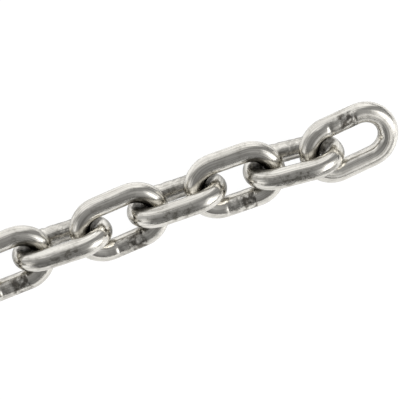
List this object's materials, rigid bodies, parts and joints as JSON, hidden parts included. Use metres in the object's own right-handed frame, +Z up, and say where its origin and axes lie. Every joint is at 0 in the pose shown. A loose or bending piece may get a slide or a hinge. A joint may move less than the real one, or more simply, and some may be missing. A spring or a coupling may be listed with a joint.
{
  "type": "short-link steel chain",
  "caption": "Length of round-bar short-link chain in polished stainless steel, lying drawn out straight; each link swings freely in the next.",
  "frame": {"origin": "on the floor, under the middle of the chain's bounding box", "axes": "+X along the chain towards the free end that the picture shows, +Y away from the picture's camera, +Z up"},
  "size_m": [0.9782, 0.0236, 0.0216],
  "materials": {
    "stainless_steel": "polished"
  },
  "bodies": {
    "link_01": {"link_01": "stainless_steel"},
    "link_02": {"link_02": "stainless_steel"},
    "link_03": {"link_03": "stainless_steel"},
    "link_04": {"link_04": "stainless_steel"},
    "link_05": {"link_05": "stainless_steel"},
    "link_06": {"link_06": "stainless_steel"},
    "link_07": {"link_07": "stainless_steel"},
    "link_08": {"link_08": "stainless_steel"},
    "link_09": {"link_09": "stainless_steel"},
    "link_10": {"link_10": "stainless_steel"},
    "link_11": {"link_11": "stainless_steel"},
    "link_12": {"link_12": "stainless_steel"},
    "link_13": {"link_13": "stainless_steel"},
    "link_14": {"link_14": "stainless_steel"},
    "link_15": {"link_15": "stainless_steel"},
    "link_16": {"link_16": "stainless_steel"},
    "link_17": {"link_17": "stainless_steel"},
    "link_18": {"link_18": "stainless_steel"},
    "link_19": {"link_19": "stainless_steel"},
    "link_20": {"link_20": "stainless_steel"},
    "link_21": {"link_21": "stainless_steel"},
    "link_22": {"link_22": "stainless_steel"},
    "link_23": {"link_23": "stainless_steel"},
    "link_24": {"link_24": "stainless_steel"},
    "link_25": {"link_25": "stainless_steel"},
    "link_26": {"link_26": "stainless_steel"},
    "link_27": {"link_27": "stainless_steel"},
    "link_28": {"link_28": "stainless_steel"},
    "link_29": {"link_29": "stainless_steel"},
    "link_30": {"link_30": "stainless_steel"},
    "link_31": {"link_31": "stainless_steel"},
    "link_32": {"link_32": "stainless_steel"},
    "link_33": {"link_33": "stainless_steel"},
    "link_34": {"link_34": "stainless_steel"},
    "link_35": {"link_35": "stainless_steel"},
    "link_36": {"link_36": "stainless_steel"},
    "link_37": {"link_37": "stainless_steel"},
    "link_38": {"link_38": "stainless_steel"},
    "link_39": {"link_39": "stainless_steel"},
    "link_40": {"link_40": "stainless_steel"},
    "link_41": {"link_41": "stainless_steel"}
  },
  "joints": [
    {"name": "swing_20", "type": "hinge", "parent": "link_21", "child": "link_20", "pos_m": [0.00697, -0.00102, 0.01079], "axis": [-0.019, -0.7069, 0.7071], "range_deg": [-90, 90]},
    {"name": "swing_19", "type": "hinge", "parent": "link_20", "child": "link_19", "pos_m": [0.03046, -0.00053, 0.01079], "axis": [-0.0247, 0.7067, 0.7071], "range_deg": [-90, 90]},
    {"name": "swing_18", "type": "hinge", "parent": "link_19", "child": "link_18", "pos_m": [0.05396, -0.00079, 0.01079], "axis": [0.0174, 0.7069, -0.7071], "range_deg": [-90, 90]},
    {"name": "swing_17", "type": "hinge", "parent": "link_18", "child": "link_17", "pos_m": [0.07746, -0.0009, 0.01079], "axis": [0.001, -0.7071, -0.7071], "range_deg": [-90, 90]},
    {"name": "swing_16", "type": "hinge", "parent": "link_17", "child": "link_16", "pos_m": [0.10095, -0.00048, 0.01079], "axis": [0.0159, -0.7069, 0.7071], "range_deg": [-90, 90]},
    {"name": "swing_15", "type": "hinge", "parent": "link_16", "child": "link_15", "pos_m": [0.12445, -0.00099, 0.01079], "axis": [0.0245, 0.7067, 0.7071], "range_deg": [-90, 90]},
    {"name": "swing_14", "type": "hinge", "parent": "link_15", "child": "link_14", "pos_m": [0.14794, -0.00066, 0.01079], "axis": [-0.0202, 0.7068, -0.7071], "range_deg": [-90, 90]},
    {"name": "swing_13", "type": "hinge", "parent": "link_14", "child": "link_13", "pos_m": [0.17144, -0.00064, 0.01079], "axis": [-0.0053, -0.7071, -0.7071], "range_deg": [-90, 90]},
    {"name": "swing_12", "type": "hinge", "parent": "link_13", "child": "link_12", "pos_m": [0.19494, -0.001, 0.01079], "axis": [-0.0124, -0.707, 0.7071], "range_deg": [-90, 90]},
    {"name": "swing_11", "type": "hinge", "parent": "link_12", "child": "link_11", "pos_m": [0.21843, -0.00049, 0.01079], "axis": [-0.0235, 0.7067, 0.7071], "range_deg": [-90, 90]},
    {"name": "swing_10", "type": "hinge", "parent": "link_11", "child": "link_10", "pos_m": [0.24192, -0.00088, 0.01079], "axis": [0.0223, 0.7068, -0.7071], "range_deg": [-90, 90]},
    {"name": "swing_09", "type": "hinge", "parent": "link_10", "child": "link_09", "pos_m": [0.26542, -0.00081, 0.01079], "axis": [0.0094, -0.707, -0.7071], "range_deg": [-90, 90]},
    {"name": "swing_08", "type": "hinge", "parent": "link_09", "child": "link_08", "pos_m": [0.28892, -0.00052, 0.01079], "axis": [0.0085, -0.7071, 0.7071], "range_deg": [-90, 90]},
    {"name": "swing_07", "type": "hinge", "parent": "link_08", "child": "link_07", "pos_m": [0.31241, -0.00102, 0.01079], "axis": [0.0219, 0.7068, 0.7071], "range_deg": [-90, 90]},
    {"name": "swing_06", "type": "hinge", "parent": "link_07", "child": "link_06", "pos_m": [0.3359, -0.0004, 0.01079], "axis": [-0.0308, 0.7064, -0.7071], "range_deg": [-90, 90]},
    {"name": "swing_05", "type": "hinge", "parent": "link_06", "child": "link_05", "pos_m": [0.3594, -0.00048, 0.01079], "axis": [-0.0123, -0.707, -0.7071], "range_deg": [-90, 90]},
    {"name": "swing_04", "type": "hinge", "parent": "link_05", "child": "link_04", "pos_m": [0.38286, 0.00069, 0.01079], "axis": [0.0493, -0.7054, 0.7071], "range_deg": [-90, 90]},
    {"name": "swing_03", "type": "hinge", "parent": "link_04", "child": "link_03", "pos_m": [0.40636, 0.00091, 0.01079], "axis": [0.0062, 0.7071, 0.7071], "range_deg": [-90, 90]},
    {"name": "swing_02", "type": "hinge", "parent": "link_03", "child": "link_02", "pos_m": [0.42986, 0.00086, 0.01079], "axis": [0, 0.7071, -0.7071], "range_deg": [-90, 90]},
    {"name": "swing_01", "type": "hinge", "parent": "link_02", "child": "link_01", "pos_m": [0.4533, -0.00072, 0.01079], "axis": [-0.0616, -0.7044, -0.7071], "range_deg": [-90, 90]},
    {"name": "swing_22", "type": "hinge", "parent": "link_21", "child": "link_22", "pos_m": [-0.00582, -0.00068, 0.01079], "axis": [-0.019, -0.7069, 0.7071], "range_deg": [-90, 90]},
    {"name": "swing_23", "type": "hinge", "parent": "link_22", "child": "link_23", "pos_m": [-0.02932, -0.00062, 0.01079], "axis": [-0.0033, 0.7071, 0.7071], "range_deg": [-90, 90]},
    {"name": "swing_24", "type": "hinge", "parent": "link_23", "child": "link_24", "pos_m": [-0.05282, -0.00101, 0.01079], "axis": [-0.0141, 0.707, -0.7071], "range_deg": [-90, 90]},
    {"name": "swing_25", "type": "hinge", "parent": "link_24", "child": "link_25", "pos_m": [-0.07631, -0.0005, 0.01079], "axis": [-0.0241, -0.7067, -0.7071], "range_deg": [-90, 90]},
    {"name": "swing_26", "type": "hinge", "parent": "link_25", "child": "link_26", "pos_m": [-0.09981, -0.00086, 0.01079], "axis": [0.0214, -0.7068, 0.7071], "range_deg": [-90, 90]},
    {"name": "swing_27", "type": "hinge", "parent": "link_26", "child": "link_27", "pos_m": [-0.12331, -0.00083, 0.01079], "axis": [0.0075, 0.7071, 0.7071], "range_deg": [-90, 90]},
    {"name": "swing_28", "type": "hinge", "parent": "link_27", "child": "link_28", "pos_m": [-0.1468, -0.00051, 0.01079], "axis": [0.0103, 0.707, -0.7071], "range_deg": [-90, 90]},
    {"name": "swing_29", "type": "hinge", "parent": "link_28", "child": "link_29", "pos_m": [-0.1703, -0.00102, 0.01079], "axis": [0.0228, -0.7067, -0.7071], "range_deg": [-90, 90]},
    {"name": "swing_30", "type": "hinge", "parent": "link_29", "child": "link_30", "pos_m": [-0.19379, -0.00059, 0.01079], "axis": [-0.0232, -0.7067, 0.7071], "range_deg": [-90, 90]},
    {"name": "swing_31", "type": "hinge", "parent": "link_30", "child": "link_31", "pos_m": [-0.21729, -0.00071, 0.01079], "axis": [-0.0115, 0.707, 0.7071], "range_deg": [-90, 90]},
    {"name": "swing_32", "type": "hinge", "parent": "link_31", "child": "link_32", "pos_m": [-0.24079, -0.00096, 0.01079], "axis": [-0.0063, 0.7071, -0.7071], "range_deg": [-90, 90]},
    {"name": "swing_33", "type": "hinge", "parent": "link_32", "child": "link_33", "pos_m": [-0.26428, -0.00048, 0.01079], "axis": [-0.0207, -0.7068, -0.7071], "range_deg": [-90, 90]},
    {"name": "swing_34", "type": "hinge", "parent": "link_33", "child": "link_34", "pos_m": [-0.28777, -0.00094, 0.01079], "axis": [0.0243, -0.7067, 0.7071], "range_deg": [-90, 90]},
    {"name": "swing_35", "type": "hinge", "parent": "link_34", "child": "link_35", "pos_m": [-0.31127, -0.00074, 0.01079], "axis": [0.0151, 0.7069, 0.7071], "range_deg": [-90, 90]},
    {"name": "swing_36", "type": "hinge", "parent": "link_35", "child": "link_36", "pos_m": [-0.33477, -0.00057, 0.01079], "axis": [0.002, 0.7071, -0.7071], "range_deg": [-90, 90]},
    {"name": "swing_37", "type": "hinge", "parent": "link_36", "child": "link_37", "pos_m": [-0.35826, -0.00102, 0.01079], "axis": [0.0181, -0.7069, -0.7071], "range_deg": [-90, 90]},
    {"name": "swing_38", "type": "hinge", "parent": "link_37", "child": "link_38", "pos_m": [-0.38176, -0.00053, 0.01079], "axis": [-0.0247, -0.7067, 0.7071], "range_deg": [-90, 90]},
    {"name": "swing_39", "type": "hinge", "parent": "link_38", "child": "link_39", "pos_m": [-0.40525, -0.00081, 0.01079], "axis": [-0.0183, 0.7069, 0.7071], "range_deg": [-90, 90]},
    {"name": "swing_40", "type": "hinge", "parent": "link_39", "child": "link_40", "pos_m": [-0.42875, -0.00089, 0.01079], "axis": [0.0023, 0.7071, -0.7071], "range_deg": [-90, 90]},
    {"name": "swing_41", "type": "hinge", "parent": "link_40", "child": "link_41", "pos_m": [-0.45225, -0.00049, 0.01079], "axis": [-0.0149, -0.7069, -0.7071], "range_deg": [-90, 90]}
  ]
}
